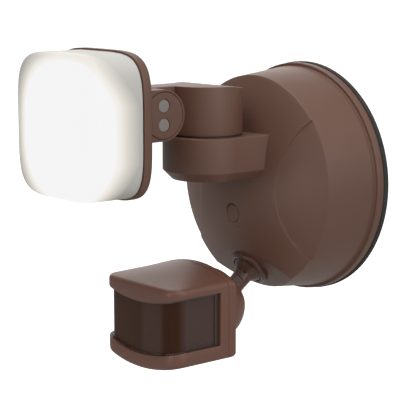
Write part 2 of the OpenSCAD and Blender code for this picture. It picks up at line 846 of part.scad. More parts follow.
module ball_retainer() {
    face = sensor_seam;
    color(black) difference() {
        union() {
            translate([0, 0, ball_z]) out_from_wall(-ball_y + 3)
                cylinder(h = face + ball_y - 3, r = hub_bore - fit_gap);
            translate([0, 0, ball_z]) out_from_wall(face) cylinder(h = retainer_t, r = retainer_r);
        }
        at_ball() sphere(r = hub_bore);
        translate([0, 0, ball_z]) out_from_wall(-ball_y) cylinder(h = face, r = 4);
        retainer_screw_places(face - over)
            cylinder(h = retainer_t + 2 * over, r = small_screw_r + fit_gap);
    }
}

module retainer_screw_places(depth) {
    for (a = [30:120:270])
        translate([0, 0, ball_z]) out_from_wall(depth) rotate(a) translate([retainer_screw_r, 0, 0])
            children();
}

module retainer_screws() {
    color(steel) retainer_screw_places(sensor_seam + retainer_t)
        screw(small_screw_r, retainer_screw_l, small_head_r * 0.85, small_head_t);
}

// Solid of the whole sensor, every surface moved in by inset
module sensor_body(inset) {
    w = sensor_w - 2 * inset;
    back = sensor_back + inset;
    front = sensor_front - inset;
    low = sensor_low + inset;
    crown_top = sensor_top + crown_h - inset;
    crown_r = (sensor_w * sensor_w / 4 + crown_h * crown_h) / (2 * crown_h) - inset;
    corner = 4 - inset;
    tall = crown_top - low + crown_h;
    intersection() {
        translate([0, -back, sensor_mid]) along_z(2 * sensor_h) intersection() {
            blunt_profile(w, front - back, sensor_corner - inset);
            translate([0, front - back - sensor_bow + inset]) circle(r = sensor_bow - inset, $fn = 128);
        }
        out_from_wall(back) linear_extrude(front - back) intersection() {
            translate([0, low + tall / 2]) round_square(w, tall, corner);
            translate([0, low + smile_r - inset]) circle(r = smile_r - inset, $fn = 128);
            translate([0, crown_top - crown_r]) circle(r = crown_r, $fn = 128);
        }
        along_x(sensor_w) polygon([
            [low - over, back], [crown_top, back], [crown_top, sensor_seam],
            [sensor_top - inset, sensor_front], [low - over, sensor_front]
        ]);
    }
}

module in_front_of_seam(gap = 0) {
    translate([-sensor_w, -2 * sensor_front, sensor_low - sensor_h])
        cube([2 * sensor_w, 2 * sensor_front - sensor_seam - gap, 3 * sensor_h]);
}

// Band between the curved upper and lower edges of the window
module window_band(margin) {
    span = 2 * sensor_w;
    out_from_wall(sensor_back) linear_extrude(sensor_front) difference() {
        translate([0, window_low - margin + smile_r]) circle(r = smile_r, $fn = 128);
        translate([0, window_top + margin + smile_r]) circle(r = smile_r, $fn = 128);
        translate([-span, sensor_top]) square(2 * span);
    }
}

module window_cut() {
    intersection() {
        window_band(0);
        difference() {
            translate([-sensor_w, -sensor_front - over, sensor_low])
                cube([2 * sensor_w, sensor_front + over - sensor_seam - side_frame, sensor_h]);
            sensor_body(sensor_wall + 1);
        }
    }
}

module sensor_front_shell() {
    color(bronze) difference() {
        intersection() {
            sensor_body(0);
            in_front_of_seam(seam_gap);
        }
        intersection() {
            sensor_body(sensor_wall);
            in_front_of_seam();
        }
        window_cut();
        dial_places(sensor_low - over) cylinder(h = 2 * over + 4, r = dial_r + 0.3);
    }
    color(bronze) sensor_posts(sensor_seam + seam_gap, post_l);
}

// Screw posts beside the electronics, joined to the shell's side walls
module sensor_posts(depth, l) {
    for (side = [-1, 1]) difference() {
        intersection() {
            sensor_body(sensor_wall / 2);
            out_from_wall(depth) translate([side * (shell_screw_x + 1), shell_screw_z, 0])
                linear_extrude(l) square([7, 8], center = true);
        }
        out_from_wall(depth - over) translate([side * shell_screw_x, shell_screw_z, 0])
            cylinder(h = 12, r = small_screw_r + fit_gap / 2);
    }
}

module sensor_rear_shell() {
    color(bronze) difference() {
        union() {
            difference() {
                sensor_body(0);
                in_front_of_seam();
            }
            difference() {
                translate([0, hub_y, hub_z]) rotate([90, 0, 0]) sphere(r = sensor_hub_r, $fn = 128);
                translate([-sensor_w, -2 * sensor_front, sensor_low - sensor_h])
                    cube([2 * sensor_w, 2 * sensor_front - sensor_back - 1, 3 * sensor_h]);
            }
        }
        at_ball() rotate([90, 0, 0]) sphere(r = hub_bore, $fn = 128);
        translate([0, 0, ball_z]) out_from_wall(-ball_y)
            cylinder(h = sensor_front, r = hub_bore, $fn = 128);
        stem_room();
        retainer_screw_places(sensor_seam - 5) cylinder(h = 8, r = small_screw_r + fit_gap / 2);
        for (side = [-1, 1])
            out_from_wall(sensor_back - over) translate([side * shell_screw_x, shell_screw_z, 0])
                cylinder(h = sensor_seam - sensor_back + 2 * over, r = small_screw_r + fit_gap);
    }
}

module sensor_screws() {
    color(steel) for (side = [-1, 1])
        out_from_wall(sensor_back) mirror([0, 0, 1])
            translate([side * shell_screw_x, shell_screw_z, 0])
                screw(small_screw_r, shell_screw_l, small_head_r * 0.9, small_head_t);
}

module pir_lens() {
    outer = sensor_wall + pir_gap;
    color([0.20, 0.13, 0.10]) intersection() {
        difference() {
            sensor_body(outer);
            translate([0, pir_t, 0]) sensor_body(outer + pir_t);
            sensor_body(outer + pir_t);
        }
        window_band(1.2);
        translate([-sensor_w, -sensor_front, sensor_low])
            cube([2 * sensor_w, sensor_front - sensor_seam - side_frame + lens_tuck, sensor_h]);
    }
}

module sensor_board() {
    w = sensor_w - 2 * sensor_wall - 8;
    h = window_top - window_low + 6;
    color(circuit) out_from_wall(sensor_board_y) translate([-w / 2, window_low - 2, 0])
        cube([w, h, board_t]);
}

module pir_detector() {
    mid = (window_top + window_low) / 2;
    face = sensor_board_y + board_t;
    color("silver") out_from_wall(face) translate([0, mid, 0]) {
        cylinder(h = 0.6, r = can_r + 0.6);
        cylinder(h = 4.2, r = can_r);
    }
}

module photocell() {
    color("orange") out_from_wall(sensor_board_y + board_t)
        translate([sensor_w / 4, window_low + 5, 0]) cylinder(h = 5, r = 2.5);
}

module relay() {
    color("blue") out_from_wall(sensor_board_y + board_t)
        translate([-sensor_w / 2 + 9, window_low + 4, 0]) cube([9, 14, 7]);
}

module dial_places(z) {
    for (side = [-1, 1]) translate([side * dial_x, -dial_y, z]) children();
}

// Control dial with a slot in its face, turned from below
module dial(side) {
    color(black) translate([side * dial_x, -dial_y, sensor_low + dial_sink]) difference() {
        cylinder(h = dial_t, r = dial_r);
        translate([-dial_r, -0.5, -over]) cube([2 * dial_r, 1, over + 1]);
    }
}

module time_dial() {
    dial(-1);
}

module range_dial() {
    dial(1);
}

wall_gasket();
mounting_bracket();
ground_screw();
canopy();
mounting_bolt();
screw_plug();
driver_board();
driver_parts();
driver_screws();
swivel_seal();
swivel_arm();
swivel_washer();
swivel_nut();
tilt_washer();
pivot_disc();
pivot_screws();
head_shell();
head_grommet();
thermal_pad();
led_board();
leds();
board_screws();
reflector();
lens_seal();
lens();
lens_screws();
socket_collar();
sensor_stem();
stem_nut();
friction_cups();
ball_retainer();
retainer_screws();
sensor_rear_shell();
sensor_front_shell();
pir_lens();
sensor_board();
pir_detector();
photocell();
relay();
time_dial();
range_dial();
sensor_screws();
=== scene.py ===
from math import cos, hypot, pi, radians, sin, sqrt, tan, tau

import bmesh
import bpy
from mathutils import Matrix, Vector
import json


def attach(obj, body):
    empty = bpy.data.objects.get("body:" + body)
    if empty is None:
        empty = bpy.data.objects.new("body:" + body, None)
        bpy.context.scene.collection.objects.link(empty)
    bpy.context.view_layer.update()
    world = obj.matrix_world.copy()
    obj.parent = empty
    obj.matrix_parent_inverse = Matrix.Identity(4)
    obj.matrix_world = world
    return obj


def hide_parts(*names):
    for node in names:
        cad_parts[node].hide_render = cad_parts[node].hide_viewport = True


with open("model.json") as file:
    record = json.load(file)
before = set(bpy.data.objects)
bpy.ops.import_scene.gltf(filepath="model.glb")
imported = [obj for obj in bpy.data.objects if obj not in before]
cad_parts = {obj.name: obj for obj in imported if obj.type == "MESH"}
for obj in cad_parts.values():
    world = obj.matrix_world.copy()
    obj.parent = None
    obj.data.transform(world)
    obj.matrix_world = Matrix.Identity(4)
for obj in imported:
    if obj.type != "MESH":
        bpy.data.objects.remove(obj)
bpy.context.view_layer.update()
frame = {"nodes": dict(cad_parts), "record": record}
nodes = frame["nodes"]
scene = bpy.context.scene
mm = 0.001  # shapes are worked out in millimetres and scaled once, at the end


# shader helpers

class Wire:  # a node's output that can be calculated with
    def __init__(self, shade, socket):
        self.shade, self.socket = shade, socket

    def math(self, operation, *others):
        return self.shade.node("Math", {"operation": operation}, (self, *others))

    def __add__(self, other):
        return self.math("ADD", other)

    def __mul__(self, other):
        return self.math("MULTIPLY", other)

    def __sub__(self, other):
        return self.math("SUBTRACT", other)

    def __rsub__(self, other):
        return self.shade.node("Math", {"operation": "SUBTRACT"}, (other, self))

    def __truediv__(self, other):
        return self.math("DIVIDE", other)

    def __pow__(self, other):
        return self.math("POWER", other)

    __radd__ = __add__
    __rmul__ = __mul__


class Shade:  # one material, or the world, and its nodes
    def __init__(self, name, store=None):
        self.material = (bpy.data.materials if store is None else store).new(name)
        self.material.use_nodes = True
        self.tree = self.material.node_tree
        self.tree.nodes.clear()

    def node(self, kind, settings=None, sockets=(), out=0):
        made = self.tree.nodes.new("ShaderNode" + kind)
        for key, value in (settings or {}).items():
            if key == "stops":
                ramp = made.color_ramp
                while len(ramp.elements) < len(value):
                    ramp.elements.new(0.5)
                for stop, (place, colour) in zip(ramp.elements, value):
                    stop.position = place
                    stop.color = (*colour, 1)
            else:
                setattr(made, key, value)
        named = sockets.items() if isinstance(sockets, dict) else enumerate(sockets)
        for key, value in named:
            if isinstance(value, Wire):
                self.tree.links.new(value.socket, made.inputs[key])
            else:
                made.inputs[key].default_value = value
        return Wire(self, made.outputs[out]) if len(made.outputs) else None

    def noise(self, spot, scale, detail=2, rough=0.5):
        sockets = {"Vector": spot, "Scale": scale, "Detail": detail, "Roughness": rough}
        return self.node("TexNoise", {}, sockets)

    def blend(self, mask, first, second):
        colours = [(*c, 1) if isinstance(c, tuple) else c for c in (first, second)]
        return self.node("Mix", {"data_type": "RGBA"}, {0: mask, 6: colours[0], 7: colours[1]}, 2)

    def remap(self, value, low, high, newLow=0.0, newHigh=1.0):
        return self.node("MapRange", {}, (value, low, high, newLow, newHigh))

    def finish(self, sockets, height, depth, strength):
        sockets["Normal"] = self.node("Bump", {}, {"Strength": strength, "Distance": depth, "Height": height})
        shader = self.node("BsdfPrincipled", {}, sockets)
        self.node("OutputMaterial", {}, {"Surface": shader})
        return self.material


def hexColour(text):
    parts = [int(text[i:i + 2], 16) / 255 for i in (0, 2, 4)]
    return tuple(p / 12.92 if p <= 0.04045 else ((p + 0.055) / 1.055) ** 2.4 for p in parts)


skinLook = {"clouds": 22, "ior": 1.5, "grainLift": 0.35, "lift": 0.00004, "bump": 0.35, "speckle": 0.12}


def coating(name, look):  # painted or moulded skin: soft clouds in the tone, orange peel, fine grain
    s = Shade(name)
    spot = s.node("TexCoord", out="Object")
    cloud = s.noise(spot, skinLook["clouds"], 3)
    grain = s.noise(spot, look["grain"], 2, 0.6)
    peel = s.noise(spot, look["peel"], 1)
    base, dark = hexColour(look["colour"]), hexColour(look["shade"])
    tone = s.blend(s.remap(cloud, 0.3, 0.7) * 0.7 + s.remap(grain, 0.3, 0.7) * 0.3, base, dark)
    rough = s.remap(cloud, 0.25, 0.75, look["rough"] - 0.04, look["rough"] + 0.05)
    rough = rough + (grain - 0.5) * skinLook["speckle"]
    sockets = {"Base Color": tone, "Roughness": rough, "IOR": skinLook["ior"]}
    for key in ("Metallic", "Specular IOR Level"):
        if key in look:
            sockets[key] = look[key]
    return s.finish(sockets, grain * skinLook["grainLift"] + peel, skinLook["lift"], skinLook["bump"])


print("materials")
finishes = {
    "bronze_housing": {"colour": "573c30", "shade": "50372c", "rough": 0.46, "grain": 4200, "peel": 750,
                       "Specular IOR Level": 0.35},
    "bronze_plastic": {"colour": "5a3b2f", "shade": "53362b", "rough": 0.42, "grain": 5200, "peel": 1500,
                       "Specular IOR Level": 0.35},
    "dark_bronze_plastic": {"colour": "4b3027", "shade": "432a21", "rough": 0.34, "grain": 5200, "peel": 1300,
                            "Specular IOR Level": 0.35},
    "seal_rubber": {"colour": "26221f", "shade": "1d1a18", "rough": 0.62, "grain": 3800, "peel": 900},
    "black_plastic": {"colour": "2b2624", "shade": "221e1d", "rough": 0.45, "grain": 4600, "peel": 1200},
    "white_plastic": {"colour": "ecebe6", "shade": "e0ded8", "rough": 0.35, "grain": 4600, "peel": 900},
    "white_board": {"colour": "f1f1ec", "shade": "e6e6e0", "rough": 0.38, "grain": 3000, "peel": 600},
    "circuit_board": {"colour": "1f6a3c", "shade": "175430", "rough": 0.36, "grain": 2400, "peel": 420},
    "led_yellow": {"colour": "e8c832", "shade": "d9b420", "rough": 0.3, "grain": 2400, "peel": 1500},
    "pad_grey": {"colour": "8d9296", "shade": "80858a", "rough": 0.7, "grain": 2600, "peel": 700},
    "zinc_steel": {"colour": "b9bcc0", "shade": "a4a8ad", "rough": 0.34, "grain": 3600, "peel": 500,
                   "Metallic": 1.0},
    "green_screw": {"colour": "2f8f4a", "shade": "267a3d", "rough": 0.38, "grain": 3600, "peel": 600},
    "can_metal": {"colour": "c4c2bb", "shade": "b2b0a9", "rough": 0.26, "grain": 3600, "peel": 500,
                  "Metallic": 1.0},
    "photocell_orange": {"colour": "c4622a", "shade": "ae5422", "rough": 0.35, "grain": 3600, "peel": 800},
    "relay_blue": {"colour": "2b5aa8", "shade": "234c92", "rough": 0.4, "grain": 3600, "peel": 800},
    "window_rim": {"colour": "35261f", "shade": "2f211b", "rough": 0.36, "grain": 4600, "peel": 1200},
    "screw_cap": {"colour": "716c66", "shade": "67625d", "rough": 0.5, "grain": 3600, "peel": 900},
}
materials = {name: coating(name, look) for name, look in finishes.items()}


def foamSkin(look):  # closed-cell foam: dark, matt, full of fine pores
    s = Shade("gasket_foam")
    spot = s.node("TexCoord", out="Object")
    cells = s.node("TexVoronoi", {}, {"Vector": spot, "Scale": look["cells"]})
    dust = s.noise(spot, look["dust"], 3)
    tone = s.blend(s.remap(cells, 0.1, 0.6), hexColour(look["pore"]), hexColour(look["foam"]))
    tone = s.blend(s.remap(dust, 0.35, 0.75) * look["dusty"], tone, hexColour(look["dustTone"]))
    sockets = {"Base Color": tone, "Roughness": s.remap(dust, 0.3, 0.7, *look["rough"])}
    sockets["Specular IOR Level"] = look["gloss"]
    return s.finish(sockets, cells, look["lift"], look["bump"])


def glowingOpal(look):  # opal lens, lit from inside: it fades near the pan and towards the corners
    s = Shade("opal_plastic")
    spot = s.node("TexCoord", out="Object")
    part = [s.node("SeparateXYZ", {}, (spot,), i) for i in range(3)]
    across = (part[0] - look["middleX"] * mm).math("ABSOLUTE") / (look["reach"] * mm)
    up = (part[2] - look["middleZ"] * mm).math("ABSOLUTE") / (look["reach"] * mm)
    outward = (across ** look["square"] + up ** look["square"]) ** (1 / look["square"])
    depth = (part[1] * -1.0 - look["back"] * mm) / (look["depth"] * mm)
    milk = s.noise(spot, look["milk"], 2)
    corners = (outward - 1.0).math("MAXIMUM", 0.0)
    fade = (1.0 - depth) * look["depthFade"] + corners * look["cornerFade"] + (milk - 0.5) * look["cloudy"]
    glow = s.node("ValToRGB", {"stops": look["glow"]}, (fade,))
    tone = s.blend(s.remap(fade, *look["dimming"]), hexColour(look["lit"]), hexColour(look["edge"]))
    sockets = {"Base Color": tone, "Roughness": s.remap(milk, 0.3, 0.7, *look["rough"])}
    sockets["Specular IOR Level"] = look["gloss"]
    sockets["Emission Color"] = glow
    sockets["Emission Strength"] = look["power"]
    return s.finish(sockets, s.noise(spot, look["grain"], 2), look["lift"], look["bump"])


def darkWindow(look):  # infrared lens: brown and glossy; its upright strips of tone are painted reflection and shade, lighter on the right part of the front, darker at the front-right corner, greyer and lighter along the right side
    s = Shade("dark_lens_plastic")
    spot = s.node("TexCoord", out="UV")
    along = s.node("SeparateXYZ", {}, (spot,), 0)
    ribs = s.node("TexWave", {"bands_direction": "X"},
                  {"Vector": spot, "Scale": look["ribs"], "Distortion": 0.0})
    # painted reflection and shade: the tone changes along the window, lighter on the right of the front,
    # darker at the front-right corner, greyer on the right side
    tone = s.node("ValToRGB", {"stops": [(p, hexColour(c)) for p, c in look["paintedLightStrips"]]}, (along,))
    haze = s.noise(s.node("TexCoord", out="Object"), look["haze"], 2)
    sockets = {"Base Color": tone, "Roughness": s.remap(haze, 0.3, 0.7, *look["rough"])}
    sockets["Specular IOR Level"] = look["gloss"]
    return s.finish(sockets, ribs, look["lift"], look["bump"])


foamLook = {
    "cells": 1500, "dust": 90, "dusty": 0.2, "pore": "141312", "foam": "2a2928", "dustTone": "444240",
    "rough": (0.82, 0.95), "gloss": 0.25, "lift": 0.00012, "bump": 0.6,
}
opalLook = {  # middle, reach, back and depth are in millimetres
    "middleX": 8.0, "middleZ": 36.7, "reach": 28.9, "square": 2.6, "back": 140.5, "depth": 26.0,
    "depthFade": 0.95, "cornerFade": 1.65, "milk": 40, "cloudy": 0.02, "dimming": (0.35, 0.89),
    "lit": "303030", "edge": "9f9f9d", "rough": (0.42, 0.48), "gloss": 0.08, "power": 1.0,
    "grain": 2600, "lift": 0.00002, "bump": 0.25,
    "glow": [(0.0, (0.87, 0.87, 0.87)), (0.35, (0.87, 0.87, 0.87)), (0.49, (0.71, 0.67, 0.62)),
             (0.62, (0.47, 0.44, 0.39)), (0.75, (0.25, 0.235, 0.2)), (0.89, (0.02, 0.01, 0.0))],
}
windowLook = {
    "ribs": 40, "haze": 60, "rough": (0.24, 0.3), "gloss": 0.05, "lift": 0.00003, "bump": 0.3,
    # these strip tones are painted reflection and shade along the window, not the lens's own colour
    "paintedLightStrips": [(0.0, "351f18"), (0.29, "38251d"), (0.5, "38251d"), (0.53, "3f2f29"), (0.64, "3f2f29"),
               (0.67, "311c12"), (0.745, "311c12"), (0.79, "3f3330"), (0.97, "3f3330"), (1.0, "38251d")],
}
materials["gasket_foam"] = foamSkin(foamLook)
materials["opal_plastic"] = glowingOpal(opalLook)
materials["dark_lens_plastic"] = darkWindow(windowLook)


# shape helpers

def softCorners(corners, steps=4):  # corners are (a, b, rounding)
    points = []
    for i, (a, b, rounding) in enumerate(corners):
        here = Vector((a, b))
        if not rounding:
            points.append(here)
            continue
        before = Vector(corners[i - 1][:2]) - here
        after = Vector(corners[(i + 1) % len(corners)][:2]) - here
        reach = min(rounding / tan(before.angle(after) / 2), 0.49 * before.length, 0.49 * after.length)
        start, end = here + before.normalized() * reach, here + after.normalized() * reach
        for k in range(steps + 1):
            t = k / steps
            points.append(start.lerp(here, t).lerp(here.lerp(end, t), t))
    return points


def lathe(corners, steps=160, upright=False, centre=(0, 0, 0), closed=False, rounding=4):
    bm = bmesh.new()
    points = softCorners(corners, rounding)
    middle = Vector(centre)
    row = [bm.verts.new(middle + Vector((r, 0, t) if upright else (r, -t, 0))) for r, t in points]
    for a, b in zip(row, row[1:] + (row[:1] if closed else [])):
        if a is not b:
            bm.edges.new((a, b))
    bmesh.ops.spin(bm, geom=bm.verts[:] + bm.edges[:], cent=centre, axis=(0, 0, 1) if upright else (0, 1, 0),
                   angle=tau, steps=steps, use_merge=True)
    bmesh.ops.remove_doubles(bm, verts=bm.verts[:], dist=1e-4)
    bmesh.ops.dissolve_degenerate(bm, dist=1e-4, edges=bm.edges[:])
    return bm


def box(low, high):
    bm = bmesh.new()
    low, high = Vector(low), Vector(high)
    bmesh.ops.create_cube(bm, size=1)
    bmesh.ops.scale(bm, vec=high - low, verts=bm.verts[:])
    bmesh.ops.translate(bm, vec=(low + high) / 2, verts=bm.verts[:])
    return bm


def everything(bm):
    return bm.verts[:] + bm.edges[:] + bm.faces[:]


def slices(bm, axis, start, end, step):  # cuts the mesh by evenly spaced planes
    count = max(1, round((end - start) / step))
    normal = Vector([float(i == axis) for i in range(3)])
    for k in range(1, count):
        place = normal * (start + (end - start) * k / count)
        bmesh.ops.bisect_plane(bm, geom=everything(bm), plane_co=place, plane_no=normal)


def trim(bm, place, normal):  # takes away what lies beyond a plane and closes the cut
    cut = bmesh.ops.bisect_plane(bm, geom=everything(bm), plane_co=place, plane_no=normal, clear_outer=True)
    edges = [e for e in cut["geom_cut"] if isinstance(e, bmesh.types.BMEdge)]
    bmesh.ops.contextual_create(bm, geom=edges)
    return bm


def solid(bm, name="tool"):
    bmesh.ops.recalc_face_normals(bm, faces=bm.faces[:])
    mesh = bpy.data.meshes.new(name)
    bm.to_mesh(mesh)
    bm.free()
    obj = bpy.data.objects.new(name, mesh)
    scene.collection.objects.link(obj)
    return obj


def applyModifiers(obj):
    graph = bpy.context.evaluated_depsgraph_get()
    made = bpy.data.meshes.new_from_object(obj.evaluated_get(graph), depsgraph=graph)
    old = obj.data
    obj.modifiers.clear()
    obj.data = made
    bpy.data.meshes.remove(old)


def combine(obj, how, *tools):
    for tool in tools:
        cutter = tool if isinstance(tool, bpy.types.Object) else solid(tool)
        step = obj.modifiers.new("combine", "BOOLEAN")
        step.operation, step.solver, step.object = how, "EXACT", cutter
        applyModifiers(obj)
        bpy.data.objects.remove(cutter)
    return obj


def soften(obj, width, segments=3, angle=28):  # small radius on every hard edge
    merge = 0.04
    bm = bmesh.new()
    bm.from_mesh(obj.data)
    bmesh.ops.remove_doubles(bm, verts=bm.verts[:], dist=merge)
    bmesh.ops.dissolve_degenerate(bm, dist=merge / 2, edges=bm.edges[:])
    bm.to_mesh(obj.data)
    bm.free()
    step = obj.modifiers.new("soften", "BEVEL")
    step.width, step.segments, step.limit_method = width, segments, "ANGLE"
    step.angle_limit, step.profile, step.use_clamp_overlap = radians(angle), 0.5, True
    applyModifiers(obj)
    return obj


def thickened(obj, depth):
    wall = obj.modifiers.new("wall", "SOLIDIFY")
    wall.thickness, wall.offset = depth, -1
    applyModifiers(obj)
    return obj


def finishPiece(obj, name, slot, body, replaced=(), material=None, sharp=32):
    obj.name = name
    obj.data.name = name
    obj.data.transform(Matrix.Scale(mm, 4))
    obj.data.shade_smooth()
    obj.data.set_sharp_from_angle(angle=radians(sharp))
    obj.data.materials.clear()
    obj.data.materials.append(material or materials[slot])
    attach(obj, body)
    if replaced:
        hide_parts(*replaced)
    return obj


def squircle(bm, power, centreZ):  # turns circles about Y into soft squares of the same width
    for v in bm.verts:
        x, z = v.co.x, v.co.z - centreZ
        r = hypot(x, z)
        if r > 1e-6:
            grow = (abs(x / r) ** power + abs(z / r) ** power) ** (-1 / power)
            v.co.x, v.co.z = x * grow, centreZ + z * grow
    return bm


# gasket and canopy

print("canopy")
canopyLook = {
    "lipRadius": 62.0, "lipFront": 7.5, "lipRound": 0.9, "sideRadius": 60.2,
    "stepGap": 0.15, "stepRound": 0.7, "stepFall": 2.2, "rimRadius": 57.0, "rimDepth": 38.6, "rimRound": 0.7,
    "domeHeight": 15.9, "domeRings": 24, "wall": 3.0, "back": 3.0, "overcut": 1.0,
    "facetTilt": 39.0, "facetDrop": 48.5, "soft": 0.35,
    "creaseRadius": 54.5, "creaseX": 29.5, "creaseStep": 0.75, "creaseBase": 0.12, "creaseSpan": 36.0,
    "bossY": -71.8, "bossRadius": 22.7, "bossTop": 28.1, "bossFloor": 5.4, "bossChamfer": 4.8,
    "bossPlate": 5.0, "bossRound": 0.5, "bossInto": 33.0, "spigotHole": 8.2,
}
plugLook = {
    "middleZ": -15.5, "radius": 4.7, "back": 48.5, "edge": 53.1, "front": 53.25, "round": 0.45, "gap": 0.2,
    "wellFloor": 45.5, "rimFront": 52.9, "rimWidth": 0.75, "rimEnd": 53.5, "boltHole": 2.6,
    "towerBack": 42.5, "towerFront": 52.4, "towerWall": 3.0,
}
gasketLook = {"inner": 53.5, "outer": 62.5, "thick": 3.0}
c, p, g = canopyLook, plugLook, gasketLook
domeTop = c["rimDepth"] + c["domeHeight"]
domeRadius = (c["rimRadius"] ** 2 + c["domeHeight"] ** 2) / (2 * c["domeHeight"])


def domeDepth(r, inset=0.0):
    return domeTop - domeRadius + sqrt(max((domeRadius - inset) ** 2 - r * r, 0.0))


def canopyProfile():  # from the open back over the lip and up the side
    side, front = c["sideRadius"], c["lipFront"]
    return [(0, c["back"], 0), (c["lipRadius"], c["back"], 0.5), (c["lipRadius"], front, c["lipRound"]),
            (side - c["stepGap"], front, c["stepRound"]), (side, front + c["stepFall"], 0.5)]


def canopySolid(inset):
    rim = c["rimRadius"] - inset
    if inset:
        back = c["back"] - c["overcut"]
        corners = [(0, back, 0), (c["sideRadius"] - inset, back, 0), (rim, domeDepth(rim, inset), 0)]
    else:
        corners = canopyProfile() + [(rim, domeDepth(rim), c["rimRound"])]
    rings = c["domeRings"]
    for k in range(1, rings + 1):
        r = rim * (1 - k / rings)
        corners.append((r, domeDepth(r, inset), 0))
    bm = lathe(corners, 224)
    tilt = radians(c["facetTilt"])
    normal = Vector((0, -cos(tilt), -sin(tilt)))
    return trim(bm, Vector((0, -c["rimDepth"], -c["facetDrop"])) - normal * inset, normal)


def bossSolid(inset, top):  # round in front, straight back into the dome
    r, low, chamfer = c["bossRadius"] - inset, c["bossFloor"] + inset, c["bossChamfer"]
    edge, topEdge = (0, 0) if inset else (c["bossRound"], c["bossRound"] + 0.1)
    bm = lathe([(0, low, 0), (r - chamfer, low, edge), (r, low + chamfer, edge), (r, top, topEdge),
                (0, top, 0)], 144, upright=True, centre=(0, c["bossY"], 0))
    for v in bm.verts:
        if v.co.y > c["bossY"] + 1e-4:
            v.co.y += c["bossInto"] - (v.co.y - c["bossY"])
    return bm


def sideFacet(side):  # tool whose rear end follows the dome, a little below its surface
    bm = bmesh.new()
    radius = c["creaseRadius"]
    middle = side * (c["creaseX"] + radius)
    place = Matrix.Translation((middle, -50, 0)) @ Matrix.Rotation(pi / 2, 4, "X")
    bmesh.ops.create_cone(bm, cap_ends=True, segments=180, radius1=radius, radius2=radius, depth=60,
                          matrix=place)
    slices(bm, 0, middle - radius, middle + radius, 3.0)
    slices(bm, 2, -radius, radius, 3.0)
    for v in bm.verts:
        if v.co.y > -30:
            r = hypot(v.co.x, v.co.z)
            recess = c["creaseBase"] + c["creaseStep"] * (v.co.z / c["creaseSpan"]) ** 2
            v.co.y = -(domeDepth(min(r, 100.0)) - recess)
    return bm


canopy = solid(canopySolid(0), "canopyShell")
combine(canopy, "UNION", bossSolid(0, c["bossTop"]))
combine(canopy, "DIFFERENCE", sideFacet(1), sideFacet(-1), canopySolid(c["wall"]),
        bossSolid(c["wall"], c["bossTop"] - c["bossPlate"]))
atPlug = (0, 0, p["middleZ"])
tower = p["radius"] + p["towerWall"]
plugTower = lathe([(0, p["towerBack"], 0), (tower, p["towerBack"], 0.6), (tower, p["towerFront"], 0),
                   (0, p["towerFront"], 0)], 64, centre=atPlug)
combine(canopy, "UNION", plugTower)
well, wellRim = p["radius"] + p["gap"], p["radius"] + p["rimWidth"]
plugHole = lathe([(0, p["wellFloor"], 0), (well, p["wellFloor"], 0), (well, p["rimFront"], 0.2),
                  (wellRim, p["rimEnd"], 0), (wellRim, 60, 0), (0, 60, 0)], 96, centre=atPlug)
boltHole = lathe([(0, 30, 0), (p["boltHole"], 30, 0), (p["boltHole"], 47, 0), (0, 47, 0)], 48, centre=atPlug)
spigotHole = lathe([(0, 20, 0), (c["spigotHole"], 20, 0), (c["spigotHole"], 30, 0), (0, 30, 0)], 96,
                   upright=True, centre=(0, c["bossY"], 0))
combine(canopy, "DIFFERENCE", plugHole, boltHole, spigotHole)
soften(canopy, c["soft"], 2, 20)
finishPiece(canopy, "canopyShell", "bronze_housing", "base", ["canopy"], sharp=40)

gasket = solid(lathe([(g["inner"], 0, 0.3), (g["outer"], 0, 0.5), (g["outer"], g["thick"], 0.7),
                      (g["inner"], g["thick"], 0.4)], 224, closed=True))
finishPiece(gasket, "foamGasket", "gasket_foam", "base", ["wall_gasket"])

plug = solid(lathe([(0, p["back"], 0), (p["radius"], p["back"], 0), (p["radius"], p["edge"], p["round"]),
                    (0, p["front"], 0)], 96, centre=atPlug))
finishPiece(plug, "boltPlug", "bronze_housing", "base", ["screw_plug"])

# arm

print("arm")
armLook = {
    "drumRadius": 19.0, "base": 28.9, "top": 54.0, "spigotRadius": 8.0, "spigotLow": 15.0, "bore": 5.0,
    "pivotY": -112.9, "pivotZ": 42.0, "knuckleHalf": 17.0, "lugInset": 2.0, "lugRadius": 12.0,
    "hubRadius": 10.5, "hubFace": 7.5, "wireBore": 4.0, "topFall": 7.0, "soft": 0.9,
}
a = armLook
atDrum = (0, c["bossY"], 0)
ontoPivot = Matrix.Translation((0, a["pivotY"], a["pivotZ"])) @ Matrix.Rotation(pi / 2, 4, "Y")
drum = solid(lathe([(a["bore"], a["spigotLow"], 0.4), (a["spigotRadius"], a["spigotLow"], 0.6),
                    (a["spigotRadius"], a["base"], 0), (a["drumRadius"], a["base"], 0.5),
                    (a["drumRadius"], a["top"], 0), (0, a["top"], 0), (0, a["pivotZ"], 0),
                    (a["bore"], a["pivotZ"], 0)], 144, upright=True, centre=atDrum, closed=True))


def pivotPlate(xLow, xHigh, radius, front):  # plate on the tilt axis: round at the pivot, straight to front
    bm = bmesh.new()
    bmesh.ops.create_circle(bm, cap_ends=True, segments=128, radius=radius,
                            matrix=Matrix.Translation((xLow, 0, 0)) @ ontoPivot)
    away = 1 if front > a["pivotY"] else -1
    for v in bm.verts:
        if (v.co.y - a["pivotY"]) * away > 1e-4:
            v.co.y = front
    bmesh.ops.remove_doubles(bm, verts=bm.verts[:], dist=1e-4)
    pushed = bmesh.ops.extrude_face_region(bm, geom=bm.faces[:])["geom"]
    newVerts = [v for v in pushed if isinstance(v, bmesh.types.BMVert)]
    bmesh.ops.translate(bm, vec=(xHigh - xLow, 0, 0), verts=newVerts)
    return bm


def pivotRound(xLow, xHigh, radius):
    bm = bmesh.new()
    bmesh.ops.create_cone(bm, cap_ends=True, segments=128, radius1=radius, radius2=radius, depth=xHigh - xLow,
                          matrix=Matrix.Translation(((xLow + xHigh) / 2, 0, 0)) @ ontoPivot)
    return bm


